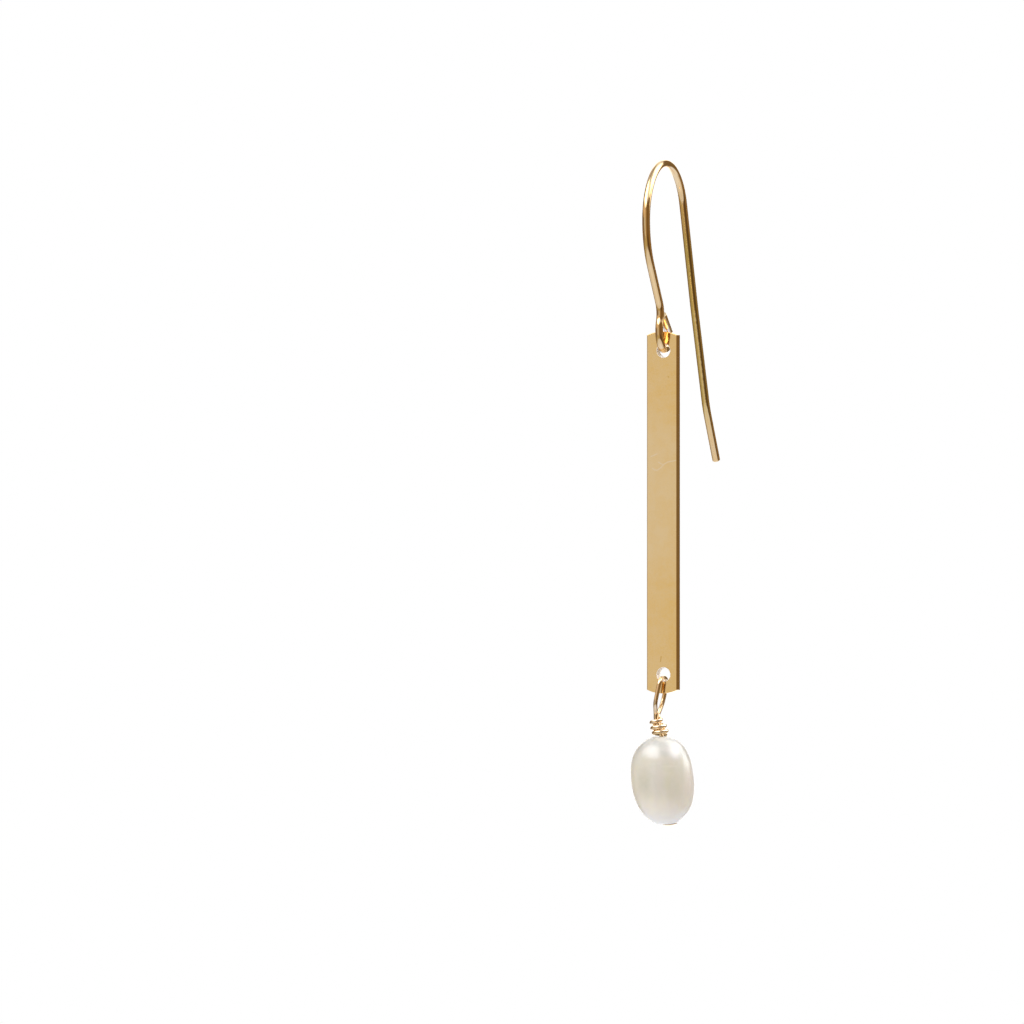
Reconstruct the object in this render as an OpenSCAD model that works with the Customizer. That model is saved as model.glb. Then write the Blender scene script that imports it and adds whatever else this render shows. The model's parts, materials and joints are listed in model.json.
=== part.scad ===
// Bar earring: a fishhook ear wire, a flat bar hanging from it, and a wrapped head pin with a pearl.
// Millimetres. +Z is up, the bar's front face looks towards -Y, and the hook's tail runs towards +Y.
// The origin is the underside of the hook's arch, where it hangs in the ear.

/* [Ear hook] */
// Diameter of the hook's wire
wire_d = 0.77; // [0.6:0.01:0.9]
// Radius of the arch, at the middle of the wire
arch_r = 5.55; // [4.8:0.05:6.5]
// Radius of the front leg's sweep back under the arch
sweep_r = 7.75; // [6:0.05:9.5]
// How far the front leg turns back
sweep_turn = 34.5; // [30:0.5:38]
// Straight part of the front leg
leg_run = 4.3; // [3.5:0.1:5.5]
// Radius of the bend at the loop's neck
neck_r = 1.95; // [1.6:0.05:2.3]
// Turn of the bend at the loop's neck
neck_turn = 57.5; // [52:0.5:62]
// Radius of the loop's front strand
loop_front_r = 2.05; // [1.8:0.05:2.3]
// Turn of the loop's front strand
loop_front_turn = 67; // [60:1:72]
// Radius of the loop's bottom, where the bar hangs
loop_r = 1.35; // [1.25:0.05:1.6]
// Radius of the sharp bend at the back of the loop
loop_back_r = 0.55; // [0.5:0.05:0.8]
// Turn of the sharp bend at the back of the loop
loop_back_turn = 48; // [44:1:52]
// Room between the loop's closing end and the neck
loop_gap = 0.04; // [0.02:0.01:0.1]
// Outward lean of the tail below the arch
tail_lean = 18; // [12:1:22]
// Upper straight part of the tail
tail_upper_run = 10; // [8:0.5:12]
// Radius of the soft bend in the tail
tail_bend_r = 30; // [20:1:40]
// Turn of the soft bend in the tail
tail_bend_turn = 2; // [1:0.5:5]
// Lower straight part of the tail
tail_lower_run = 9.2; // [7:0.2:11]
// Radius of the kink near the tail's end
kink_r = 8; // [5:0.5:12]
// Turn of the kink near the tail's end
kink_turn = 10.5; // [5:0.5:15]
// Straight end of the tail, which goes through the ear and takes a stopper
tail_end_run = 5.1; // [4:0.1:7]
// Chamfer around the tail's tip
tip_chamfer = 0.08; // [0.02:0.01:0.15]

/* [Bar] */
// Width of the bar
bar_w = 3.08; // [2.4:0.02:4]
// Length of the bar, between the crowns of its ends
bar_h = 35; // [28:0.5:42]
// Thickness of the bar
bar_t = 0.95; // [0.75:0.05:1.05]
// How far each end bulges at its middle
end_rise = 0.35; // [0.2:0.05:0.6]
// Rounding of the bar's long edges
edge_round = 0.08; // [0.04:0.01:0.15]
// Diameter of the two holes
hole_d = 1.32; // [1.26:0.02:1.5]
// From each end's crown to the middle of its hole
hole_inset = 1.84; // [1.6:0.02:2]
// How far the holes sit to the right of the bar's middle line
hole_shift = 0.17; // [0:0.01:0.25]
// Countersink around the holes, on both faces
hole_chamfer = 0.05; // [0.02:0.01:0.1]

/* [Head pin] */
// Diameter of the head pin's wire
pin_d = 0.41; // [0.35:0.01:0.5]
// Diameter of the flat head under the pearl
head_d = 1.42; // [1:0.02:1.8]
// Thickness of the flat head, at its middle
head_t = 0.22; // [0.15:0.01:0.4]
// Thickness of the flat head, at its edge
head_rim = 0.05; // [0.02:0.01:0.1]
// Radius of the ring's top, which lies in the bar's lower hole
ring_top_r = 1.7; // [1.4:0.05:2]
// Radius of the ring's front shoulder
ring_front_r = 0.75; // [0.65:0.05:0.9]
// Straight part of the ring's front side
ring_front_run = 1.38; // [1.2:0.02:1.6]
// Radius of the bend below the ring's front side
ring_front_foot_r = 1.2; // [0.8:0.1:1.5]
// Straight part from the neck to the ring's front side
ring_front_foot_run = 0.87; // [0.6:0.01:1.1]
// Radius of the ring's back shoulder
ring_back_r = 0.7; // [0.6:0.05:0.85]
// Straight part of the ring's back side
ring_back_run = 1; // [0.8:0.05:1.3]
// Radius of the bend below the ring's back side
ring_back_foot_r = 2.2; // [1:0.1:3]
// Straight part from the ring's back side to the neck
ring_back_foot_run = 1.1; // [0.9:0.05:1.5]
// How far the ring's top is to the left of the hole's middle
ring_shift = 0.1; // [0:0.01:0.15]
// How far the ring's top is in front of the bar's middle
ring_forward = 0.12; // [0:0.01:0.2]
// Sideways lean of the ring
ring_lean = 9.5; // [5:0.5:12]
// How far the wire leans to the right within the winding
neck_shift_x = 0.57; // [0.4:0.01:0.7]
// How far the wire leans to the back within the winding
neck_shift_y = 0.15; // [0:0.01:0.3]
// Turns that the wire's end makes around the neck
wrap_turns = 3; // [2:1:4]
// Room between the neck and the turns around it
wrap_gap = 0.03; // [0.02:0.01:0.06]
// How much looser the lower turns are
wrap_slack = 0.21; // [0.05:0.01:0.3]
// Room between the lowest two turns
wrap_space = 0.015; // [0.01:0.005:0.05]
// How much further apart each higher pair of turns is
wrap_spread = 0.09; // [0.04:0.01:0.12]
// From the pearl's top to the middle of the wire's cut end
wrap_foot = 0.25; // [0.22:0.01:0.4]
// From the ring's foot down to the middle of the first turn
wrap_drop = 0.36; // [0.3:0.01:0.5]
// How far the wire's cut end stands out from the turns
wrap_end_out = 0.25; // [0.1:0.01:0.4]

/* [Pearl] */
// Width of the pearl, across the bar's face
pearl_w = 6.14; // [5:0.02:7]
// Depth of the pearl, front to back
pearl_t = 6; // [5:0.02:7]
// Length of the pearl, along its bore
pearl_h = 8.4; // [7:0.02:10]
// Room around the head pin in the pearl's bore
bore_gap = 0.04; // [0.02:0.01:0.1]

/* [Fit] */
// Room between a wire and the edge of the hole that it hangs in
seat_gap = 0.03; // [0.02:0.01:0.05]

/* [Hidden] */
$fn = 64;
gold = "#D6B785";
nacre = "#E4E0D6";

wire_r = wire_d / 2;
pin_r = pin_d / 2;
hole_r = hole_d / 2;

// A joint between two stretches of wire is a ball, just proud of the wire, and the stretches end inside it
joint_skin = 0.003;
joint_trim = 0.01;
// Cuts run this far past the faces that they open
past = 1;

// A bent wire is a table of rows: a straight run, and then a bend with its radius and its turn in degrees.
// It lies in the YZ plane, and a turn is positive where it goes left, seen with +Y right and +Z up.
RUN = 0;
RADIUS = 1;
TURN = 2;
// A place on the wire is its Y, its Z and its heading, in degrees from +Y
Y = 0;
Z = 1;
HEADING = 2;

function along(p, run) = [p[Y] + run * cos(p[HEADING]), p[Z] + run * sin(p[HEADING]), p[HEADING]];
// The point beside p, to its left
function beside(p, reach) = [p[Y] - reach * sin(p[HEADING]), p[Z] + reach * cos(p[HEADING])];
// Middle of a bend that starts at p
function bend_middle(p, radius, turn) = beside(p, sign(turn) * radius);
function around(p, radius, turn) =
    let (m = bend_middle(p, radius, turn), side = sign(turn), h = p[HEADING] + turn)
    [m[Y] + side * radius * sin(h), m[Z] - side * radius * cos(h), h];
function after_row(p, row) =
    let (q = along(p, row[RUN]))
    row[TURN] == 0 ? q : around(q, row[RADIUS], row[TURN]);
// The place that the wire has reached after its first n rows
function after_rows(p, rows, n) = n == 0 ? p : after_row(after_rows(p, rows, n - 1), rows[n - 1]);
// How far a point can go along a heading until it is this near to a target
function run_to(point, heading, target, near) =
    let (
        away = point - target,
        ahead = away[Y] * cos(heading) + away[Z] * sin(heading)
    )
    -ahead - sqrt(ahead * ahead - away * away + near * near);

// Ear hook: the arch lies on the origin, and the front leg and the tail start at its two ends
arch_z = wire_r - arch_r;
leg_start = [-arch_r, arch_z, 270];
// The bottom of the loop turns until the wire heads straight up
loop_turn = 180 - sweep_turn + neck_turn - loop_front_turn;
open_leg_rows = [
    [0, sweep_r, sweep_turn],
    [leg_run, neck_r, -neck_turn],
    [0, loop_front_r, loop_front_turn],
    [0, loop_r, loop_turn],
    [0, loop_back_r, loop_back_turn],
];
// The closing end's left edge meets the outer side of the neck's bend
neck_start = along(after_rows(leg_start, open_leg_rows, 1), leg_run);
closing_start = after_rows(leg_start, open_leg_rows, len(open_leg_rows));
closing_run = run_to(
    beside(closing_start, wire_r),
    closing_start[HEADING],
    bend_middle(neck_start, neck_r, -neck_turn),
    neck_r + wire_r + loop_gap
);
leg_rows = concat(open_leg_rows, [[closing_run, 0, 0]]);
tail_start = [arch_r * cos(tail_lean), arch_z + arch_r * sin(tail_lean), 270 + tail_lean];
tail_rows = [
    [tail_upper_run, tail_bend_r, tail_bend_turn],
    [tail_lower_run, kink_r, kink_turn],
];
tail_end_start = after_rows(tail_start, tail_rows, len(tail_rows));

// Bar: the upper hole's edge rests on the wire at the bottom of the loop
loop_start = after_rows(leg_start, open_leg_rows, len(open_leg_rows) - 2);
loop_middle = bend_middle(loop_start, loop_r, loop_turn);
bar_y = loop_middle[Y];
// How far below its own middle a ring's inner side is, where the bar's two faces cross it
function seat_drop(ring_r, r, reach) = sqrt(pow(ring_r - r, 2) - reach * reach);
hole_x = 0.06;
hole_z = loop_middle[Z] - seat_drop(loop_r, wire_r, bar_t / 2) + seat_gap - hole_r;
bar_top = hole_z + hole_inset;
bar_middle_x = hole_x - hole_shift;
bar_middle_z = bar_top - bar_h / 2;
low_hole_z = bar_top - bar_h + hole_inset;
// Radius of the bulging ends
end_r = (pow(bar_w / 2, 2) + end_rise * end_rise) / (2 * end_rise);

// Head pin: its ring starts at the neck, goes up in front of the bar, through the hole and down behind it
ring_start = [0, 0, 122];
ring_front_heading = 82;
ring_back_heading = -97;
ring_end_heading = -126;
// The ring's top passes its highest point after the first of these turns
ring_tip_turn = 20;
ring_top_turn = 44;
ring_front_rows = [
    [ring_front_foot_run, ring_front_foot_r, ring_front_heading - ring_start[HEADING]],
    [ring_front_run, ring_front_r, ring_tip_turn - ring_front_heading],
];
ring_back_rows = [
    [0, ring_top_r, -ring_top_turn],
    [0, ring_back_r, ring_back_heading + ring_top_turn - ring_tip_turn],
    [ring_back_run, ring_back_foot_r, ring_end_heading - ring_back_heading],
    [ring_back_foot_run, 0, 0],
];
ring_tip = around(after_rows(ring_start, ring_front_rows, len(ring_front_rows)), ring_top_r, -ring_tip_turn);
ring_middle_z = low_hole_z - hole_r + seat_gap - seat_drop(ring_top_r, pin_r, bar_t / 2 + ring_forward);
ring_top_z = ring_middle_z + ring_top_r;
ring_top = [hole_x - ring_shift, bar_y - ring_forward, ring_top_z];
ring_rows = concat(ring_front_rows, ring_back_rows);
// Places on the pin, in the ring's leaning plane and in the part's frame
function on_ring(p) =
    let (up = p[Z] - ring_tip[Z], across = p[Y] - ring_tip[Y])
    ring_top + [up * sin(ring_lean), across, up * cos(ring_lean)];
neck_top = on_ring(ring_start);
ring_end = on_ring(after_rows(ring_start, ring_rows, len(ring_rows)));

// Winding: the wire goes on for a share of a turn past its last whole turn, and its cut end stands out
extra_turn = 0.06;
cut_turn = 0.1;
wrap_r = 2 * pin_r + wrap_gap;
wrap_total = wrap_turns + extra_turn;
// Height above the pearl, this many turns before the wire's cut end
function wrap_height(turns) =
    wrap_foot + (pin_d + wrap_space - wrap_spread / 2) * turns + wrap_spread / 2 * turns * turns;
wind_h = wrap_height(wrap_total);
// The neck goes straight down to the winding, and leans within it
wind_top = neck_top - [0, 0, wrap_drop];

// Pearl: its bore leans a little to the right and to the back
bore_lean_x = 3.7;
bore_lean_y = 5.7;
bore_top = wind_top + [neck_shift_x, neck_shift_y, -wind_h];
bore_line = [
    sin(bore_lean_x) * cos(bore_lean_y),
    sin(bore_lean_y),
    -cos(bore_lean_x) * cos(bore_lean_y),
];

// Pearl's sections: how far along the bore, and its reach to the left and right of the bore, as shares of
// pearl_h and pearl_w. The top one lies level, and the bottom one lies square to the bore.
ALONG = 0;
LEFT = 1;
RIGHT = 2;
pearl_sections = [
    [0, 0.09, 0.09],
    [-0.004, 0.16, 0.13],
    [0.01, 0.21, 0.185],
    [0.035, 0.27, 0.245],
    [0.09, 0.365, 0.325],
    [0.16, 0.445, 0.377],
    [0.24, 0.503, 0.413],
    [0.33, 0.535, 0.436],
    [0.42, 0.549, 0.447],
    [0.5, 0.551, 0.449],
    [0.58, 0.545, 0.444],
    [0.66, 0.529, 0.429],
    [0.74, 0.502, 0.404],
    [0.81, 0.464, 0.37],
    [0.87, 0.415, 0.321],
    [0.925, 0.348, 0.257],
    [0.965, 0.284, 0.19],
    [0.99, 0.226, 0.145],
    [1, 0.17, 0.12],
];
pearl_sides = 36;
// The bar's face looks past the sections' own left and right by this much
pearl_twist = 19.7;

module stretch(p, run, r) {
    translate([0, p[Y], p[Z]])
        rotate([p[HEADING] - 90, 0, 0])
            translate([0, 0, joint_trim])
                cylinder(r = r, h = run - 2 * joint_trim);
}

module bend(p, radius, turn, r) {
    middle = bend_middle(p, radius, turn);
    trim = joint_trim / radius * 180 / PI;
    start = turn > 0 ? p[HEADING] - 90 : p[HEADING] + 90 + turn;
    translate([0, middle[Y], middle[Z]])
        rotate([90, 0, 90])
            rotate_extrude(start = start + trim, angle = abs(turn) - 2 * trim)
                translate([radius, 0])
                    circle(r);
}

module joint(p, r) {
    translate([0, p[Y], p[Z]])
        sphere(r + joint_skin);
}

// A bent wire, with a ball before each run and each bend
module bent_wire(start, rows, r) {
    for (i = [0 : len(rows) - 1]) {
        p = after_rows(start, rows, i);
        q = along(p, rows[i][RUN]);
        joint(p, r);
        if (rows[i][RUN] > 0) stretch(p, rows[i][RUN], r);
        if (rows[i][RUN] > 0 && rows[i][TURN] != 0) joint(q, r);
        if (rows[i][TURN] != 0) bend(q, rows[i][RADIUS], rows[i][TURN], r);
    }
}

// The wire's straight end, with a chamfered edge
module blunt_end(p, run, r) {
    joint(p, r);
    translate([0, p[Y], p[Z]])
        rotate([p[HEADING] - 90, 0, 0])
            rotate_extrude()
                polygon([
                    [0, joint_trim],
                    [r, joint_trim],
                    [r, run - tip_chamfer],
                    [r - tip_chamfer, run],
                    [0, run],
                ]);
}

// A straight rod from one point to another
module rod(a, b, r) {
    d = b - a;
    translate(a)
        rotate([0, acos(d[2] / norm(d)), atan2(d[1], d[0])])
            cylinder(r = r, h = norm(d));
}

module ear_hook() {
    color(gold) {
        bend([tail_start[Y], tail_start[Z], tail_lean + 90], arch_r, 180 - tail_lean, wire_r);
        bent_wire(leg_start, leg_rows, wire_r);
        bent_wire(tail_start, tail_rows, wire_r);
        blunt_end(tail_end_start, tail_end_run, wire_r);
    }
}

// Outline of the bar's face, with its two bulging ends
module bar_outline() {
    intersection() {
        square([bar_w, bar_h], center = true);
        union() {
            for (side = [-1, 1])
                translate([0, side * (bar_h / 2 - end_r)])
                    circle(end_r);
            square([2 * end_r, bar_h - 2 * end_r], center = true);
        }
    }
}

// Cross-section of the bar, with its rounded edges
module bar_section() {
    for (x = [-1, 1], y = [-1, 1])
        translate([x * (bar_w / 2 - edge_round), y * (bar_t / 2 - edge_round)])
            circle(edge_round);
    square([bar_w, bar_t - 2 * edge_round], center = true);
    square([bar_w - 2 * edge_round, bar_t], center = true);
}

// A hole through the bar, at its own middle, with a countersink on both faces
module bar_hole() {
    rotate([90, 0, 0])
        cylinder(r = hole_r, h = bar_t + 2 * past, center = true);
    for (side = [-90, 90])
        rotate([side, 0, 0])
            translate([0, 0, bar_t / 2 - hole_chamfer])
                cylinder(r1 = hole_r, r2 = hole_r + hole_chamfer + past, h = hole_chamfer + past);
}

module bar() {
    color(gold)
        translate([0, bar_y, 0])
            difference() {
                translate([bar_middle_x, 0, bar_middle_z])
                    intersection() {
                        rotate([90, 0, 0])
                            linear_extrude(height = bar_t + 2 * past, center = true)
                                bar_outline();
                        linear_extrude(height = bar_h + 2 * past, center = true)
                            bar_section();
                    }
                for (z = [hole_z, low_hole_z])
                    translate([hole_x, 0, z])
                        bar_hole();
            }
}

// Places things in the bore's frame: the origin at the bore's top, and the pearl along -Z
module at_bore() {
    translate(bore_top)
        rotate([bore_lean_y, -bore_lean_x, 0])
            children();
}

// The wire's end, wound around the neck in level turns from the ring's end down to the pearl
wrap_steps = 24;
wrap_sides = 10;
function wrap_radius(t) =
    let (cut = max(0, t - wrap_total + cut_turn) / cut_turn)
    wrap_r + wrap_slack * min(1, t * t) + wrap_end_out * cut * cut;
// The middle of the winding at a height above the pearl
function neck_at(height) = bore_top + (wind_top - bore_top) * height / wind_h;
// The middle of the wire after t turns
function wrap_point(t) =
    let (angle = 90 - 360 * t)
    neck_at(wrap_height(wrap_total - t)) + wrap_radius(t) * [cos(angle), sin(angle), 0];
function unit(v) = v / norm(v);
function wrap_ring(t) =
    let (
        step = 0.002,
        ahead = unit(wrap_point(t + step) - wrap_point(t - step)),
        outward = unit(cross(ahead, [0, 0, 1])),
        upward = cross(outward, ahead)
    )
    [for (i = [0 : wrap_sides - 1])
        wrap_point(t) + pin_r * (cos(360 * i / wrap_sides) * outward + sin(360 * i / wrap_sides) * upward)];

// A closed skin over a stack of rings, each with the same number of points
module skin(rings) {
    sides = len(rings[0]);
    last = len(rings) - 1;
    points = [for (ring = rings) each ring];
    walls = [for (i = [0 : last - 1], j = [0 : sides - 1])
        let (a = i * sides + j, b = i * sides + (j + 1) % sides)
        [a, b, b + sides, a + sides]];
    floor_face = [for (j = [sides - 1 : -1 : 0]) j];
    roof_face = [for (j = [0 : sides - 1]) last * sides + j];
    polyhedron(points = points, faces = concat(walls, [floor_face, roof_face]), convexity = 6);
}

module winding() {
    count = ceil(wrap_total * wrap_steps);
    skin([for (i = [0 : count]) wrap_ring(wrap_total * i / count)]);
}

// The flat head under the pearl, with its domed underside
module pin_head() {
    dome = head_t - head_rim;
    dome_r = (pow(head_d / 2, 2) + dome * dome) / (2 * dome);
    intersection() {
        translate([0, 0, -past])
            cylinder(d = head_d, h = head_t + past);
        translate([0, 0, dome_r])
            rotate([90, 0, 0])
                sphere(dome_r);
    }
}

module head_pin() {
    color(gold) {
        translate(ring_top)
            rotate([0, ring_lean, 0])
                translate([0, -ring_tip[Y], -ring_tip[Z]])
                    bent_wire(ring_start, ring_rows, pin_r);
        rod(bore_top, wind_top, pin_r);
        rod(neck_top, wind_top, pin_r);
        rod(ring_end, wrap_point(0), pin_r);
        for (place = [bore_top, wind_top, ring_end, wrap_point(0)])
            translate(place)
                sphere(pin_r + joint_skin);
        winding();
        at_bore() {
            translate([0, 0, -pearl_h - seat_gap])
                cylinder(r = pin_r, h = pearl_h + seat_gap);
            translate([0, 0, -pearl_h - seat_gap - head_t])
                pin_head();
        }
    }
}

// Half of the pearl's width at this section, towards this angle
function pearl_reach(row, angle) =
    let (
        middle = (row[RIGHT] - row[LEFT]) / 2 * pearl_w,
        half = (row[RIGHT] + row[LEFT]) / 2
    )
    [middle + half * pearl_w * cos(angle), half * pearl_t * sin(angle)];

// A section's points, tilted for how far along the bore it lies
function pearl_ring(row) =
    let (
        tilt_x = bore_lean_x * row[ALONG],
        tilt_y = bore_lean_y * row[ALONG],
        middle = bore_top + bore_line * row[ALONG] * pearl_h
    )
    [for (j = [0 : pearl_sides - 1])
        let (
            reach = pearl_reach(row, 360 * j / pearl_sides),
            x = reach[0] * cos(pearl_twist) - reach[1] * sin(pearl_twist),
            y = reach[0] * sin(pearl_twist) + reach[1] * cos(pearl_twist)
        )
        middle + [x * cos(tilt_x), y * cos(tilt_y), x * sin(tilt_x) + y * sin(tilt_y)]];

module pearl() {
    color(nacre)
        difference() {
            skin([for (row = pearl_sections) pearl_ring(row)]);
            at_bore()
                translate([0, 0, -pearl_h - past])
                    cylinder(r = pin_r + bore_gap, h = pearl_h + 2 * past);
        }
}

ear_hook();
bar();
head_pin();
pearl();
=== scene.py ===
import json
from math import asin, ceil, cos, exp, hypot, pi, radians, sin, sqrt

import bmesh
import bpy
from mathutils import Matrix, Vector, noise


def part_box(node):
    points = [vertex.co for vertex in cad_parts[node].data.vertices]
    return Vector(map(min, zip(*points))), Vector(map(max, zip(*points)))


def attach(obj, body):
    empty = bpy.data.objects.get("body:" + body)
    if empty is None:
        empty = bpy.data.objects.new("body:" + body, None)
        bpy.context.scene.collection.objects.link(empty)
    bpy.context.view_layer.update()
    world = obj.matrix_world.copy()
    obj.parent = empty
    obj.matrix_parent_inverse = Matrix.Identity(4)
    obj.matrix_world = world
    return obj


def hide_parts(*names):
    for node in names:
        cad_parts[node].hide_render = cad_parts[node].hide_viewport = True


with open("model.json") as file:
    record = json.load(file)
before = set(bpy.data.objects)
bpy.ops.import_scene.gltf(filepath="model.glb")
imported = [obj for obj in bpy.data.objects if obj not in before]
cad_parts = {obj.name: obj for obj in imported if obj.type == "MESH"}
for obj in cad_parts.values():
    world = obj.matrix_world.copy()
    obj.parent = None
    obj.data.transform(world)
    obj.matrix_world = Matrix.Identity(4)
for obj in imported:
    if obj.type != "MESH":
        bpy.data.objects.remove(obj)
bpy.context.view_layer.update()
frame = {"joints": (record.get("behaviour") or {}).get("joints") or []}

# Shapes are worked out in millimetres, and meshes are in metres
MM = 0.001

joints = {joint["name"]: joint for joint in frame["joints"]}


def mm(place):
    return Vector(place) / MM


def middle_of(box):
    low, high = box
    return (mm(low) + mm(high)) / 2


# The photograph's viewpoint: level, and this many degrees to the right of straight before the bar's face
VIEW_AZIMUTH = 19.7

to_camera = Vector((sin(radians(VIEW_AZIMUTH)), -cos(radians(VIEW_AZIMUTH)), 0))
to_right = Vector((cos(radians(VIEW_AZIMUTH)), sin(radians(VIEW_AZIMUTH)), 0))


# Bent wire: a table of rows, each a straight run and then a bend with its radius and its turn in degrees.
# A place is (Y, Z, heading), and a turn is positive where it goes left, seen with +Y right and +Z up.

def along(place, run):
    y, z, heading = place
    return y + run * cos(radians(heading)), z + run * sin(radians(heading)), heading


def beside(place, reach):
    """The point beside a place, to its left."""
    y, z, heading = place
    return y - reach * sin(radians(heading)), z + reach * cos(radians(heading))


def around(place, radius, turn):
    reach = radius if turn > 0 else -radius
    middle_y, middle_z = beside(place, reach)
    ahead = place[2] + turn
    return middle_y + reach * sin(radians(ahead)), middle_z - reach * cos(radians(ahead)), ahead


def run_to(point, heading, target, near):
    """How far a point can go along a heading until it is this near to a target."""
    away_y = point[0] - target[0]
    away_z = point[1] - target[1]
    ahead = away_y * cos(radians(heading)) + away_z * sin(radians(heading))
    return -ahead - sqrt(ahead ** 2 - away_y ** 2 - away_z ** 2 + near ** 2)


def walk(start, rows, run_step, turn_step):
    """Places along a bent wire, from its start to its end."""
    places = [start]
    for run, radius, turn in rows:
        if run:
            corner = places[-1]
            count = ceil(run / run_step)
            places += [along(corner, run * i / count) for i in range(1, count + 1)]
        if turn:
            corner = places[-1]
            count = ceil(abs(turn) / turn_step)
            places += [around(corner, radius, turn * i / count) for i in range(1, count + 1)]
    return places


# Meshes

def add_mesh(name, points, faces, material, smooth_angle=35):
    """A mesh object from points in millimetres, shaded smooth up to an angle between its faces."""
    mesh = bpy.data.meshes.new(name)
    mesh.from_pydata([Vector(p) * MM for p in points], [], faces)
    mesh.validate()
    mesh.materials.append(material)
    obj = bpy.data.objects.new(name, mesh)
    bpy.context.collection.objects.link(obj)
    shape = bmesh.new()
    shape.from_mesh(mesh)
    bmesh.ops.recalc_face_normals(shape, faces=shape.faces)
    for edge in shape.edges:
        edge.smooth = edge.calc_face_angle(0) < radians(smooth_angle)
    for face in shape.faces:
        face.smooth = True
    shape.to_mesh(mesh)
    shape.free()
    return obj


def tube(line, radii, sides):
    """Points and faces of a closed tube. No stretch of its line runs along X."""
    points = []
    across = Vector((1, 0, 0))
    for i, middle in enumerate(line):
        before = line[max(i - 1, 0)]
        after = line[min(i + 1, len(line) - 1)]
        ahead = (after - before).normalized()
        across = (across - ahead * across.dot(ahead)).normalized()
        over = ahead.cross(across)
        for j in range(sides):
            angle = 2 * pi * j / sides
            points.append(middle + radii[i] * (cos(angle) * across + sin(angle) * over))
    faces = strips(len(line), sides)
    faces.append(list(range(sides))[::-1])
    faces.append([(len(line) - 1) * sides + j for j in range(sides)])
    return points, faces


def strips(rings, sides, closed=False):
    """Faces between neighbouring rings of points."""
    faces = []
    for i in range(rings if closed else rings - 1):
        here = i * sides
        there = (i + 1) % rings * sides
        for j in range(sides):
            after = (j + 1) % sides
            faces.append([here + j, here + after, there + after, there + j])
    return faces


def blunt_radii(line, radius, bevel_start, bevel_end):
    """Radii along a line whose two ends have small rounded edges."""
    lengths = [0.0]
    for a, b in zip(line, line[1:]):
        lengths.append(lengths[-1] + (b - a).length)
    total = lengths[-1]
    radii = []
    for length in lengths:
        inset = 0.0
        for bevel, room in ((bevel_start, length), (bevel_end, total - length)):
            if room < bevel:
                inset = bevel - sqrt(max(0.0, bevel ** 2 - (bevel - room) ** 2))
        radii.append(radius - inset)
    return radii


def with_ends(line, bevel_start, bevel_end):
    """The line with more points close to its two ends, where their edges are rounded."""
    steps = 4

    def near(a, b, bevel):
        way = (b - a).normalized()
        return [a + way * bevel * (i / steps) ** 2 for i in range(steps + 1)]

    front = near(line[0], line[1], bevel_start)
    back = near(line[-1], line[-2], bevel_end)[::-1]
    return front + line[1:-1] + back


def smooth_through(points, steps):
    """A Catmull-Rom curve through the points."""
    padded = [2 * points[0] - points[1]] + points + [2 * points[-1] - points[-2]]
    out = []
    for a, b, c, d in zip(padded, padded[1:], padded[2:], padded[3:]):
        for i in range(steps):
            t = i / steps
            out.append(0.5 * (2 * b + (c - a) * t + (2 * a - 5 * b + 4 * c - d) * t ** 2
                              + (3 * b - a - 3 * c + d) * t ** 3))
    return out + [points[-1]]


# Ear hook
WIRE_R = 0.385
ARCH_R = 5.55
TAIL_LEAN = 18
LOOP_GAP = 0.04
SWEEP = (0, 7.75, 34.5)
NECK = (4.3, 1.95, -57.5)
LOOP_FRONT = (0, 2.05, 67)
LOOP_BOTTOM = (0, 1.35, 136)
LOOP_BACK = (0, 0.55, 48)
TAIL_ROWS = [(10, 30, 2), (9.2, 8, 10.5), (5.1, 0, 0)]
CLOSING_BEVEL = 0.03
TIP_BEVEL = 0.1
WIRE_SIDES = 32
WIRE_RUN_STEP = 0.3
WIRE_TURN_STEP = 3
TAIL_TURN_STEP = 1.5


def hook_line():
    arch_z = WIRE_R - ARCH_R
    leg_start = (-ARCH_R, arch_z, 270)
    leg_rows = [SWEEP, NECK, LOOP_FRONT, LOOP_BOTTOM, LOOP_BACK]
    leg = walk(leg_start, leg_rows, WIRE_RUN_STEP, WIRE_TURN_STEP)
    # The closing end's left edge stops just short of the outer side of the neck's bend
    neck_run, neck_r, _ = NECK
    sweep_end = walk(leg_start, [SWEEP], WIRE_RUN_STEP, WIRE_TURN_STEP)[-1]
    neck_middle = beside(along(sweep_end, neck_run), -neck_r)
    closing = run_to(beside(leg[-1], WIRE_R), leg[-1][2], neck_middle, neck_r + WIRE_R + LOOP_GAP)
    leg += walk(leg[-1], [(closing, 0, 0)], WIRE_RUN_STEP, WIRE_TURN_STEP)[1:]
    arch = walk((-ARCH_R, arch_z, 90), [(0, ARCH_R, TAIL_LEAN - 180)], WIRE_RUN_STEP, WIRE_TURN_STEP)
    lean = radians(TAIL_LEAN)
    arch_end = (ARCH_R * cos(lean), arch_z + ARCH_R * sin(lean), 270 + TAIL_LEAN)
    tail = walk(arch_end, TAIL_ROWS, WIRE_RUN_STEP, TAIL_TURN_STEP)
    places = leg[::-1] + arch[1:] + tail[1:]
    return [Vector((0, y, z)) for y, z, _ in places]


def make_hook(material):
    line = with_ends(hook_line(), CLOSING_BEVEL, TIP_BEVEL)
    radii = blunt_radii(line, WIRE_R, CLOSING_BEVEL, TIP_BEVEL)
    points, faces = tube(line, radii, WIRE_SIDES)
    hook = add_mesh("ear_hook_wire", points, faces, material)
    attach(hook, "hook")
    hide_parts("ear_hook")


# Bar
END_RISE = 0.35
EDGE_ROUND = 0.07
HOLE_R = 0.66
HOLE_INSET = 1.84
HOLE_SHIFT = 0.17
HOLE_ROUND = 0.05
END_STEPS = 24
SIDE_STEPS = 40
HOLE_SIDES = 56
ROUND_STEPS = 5
# Small, so that the flat faces beside the rounded edges shade flat
BAR_SMOOTH_ANGLE = 8

bar_middle = middle_of(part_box("bar"))


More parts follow.
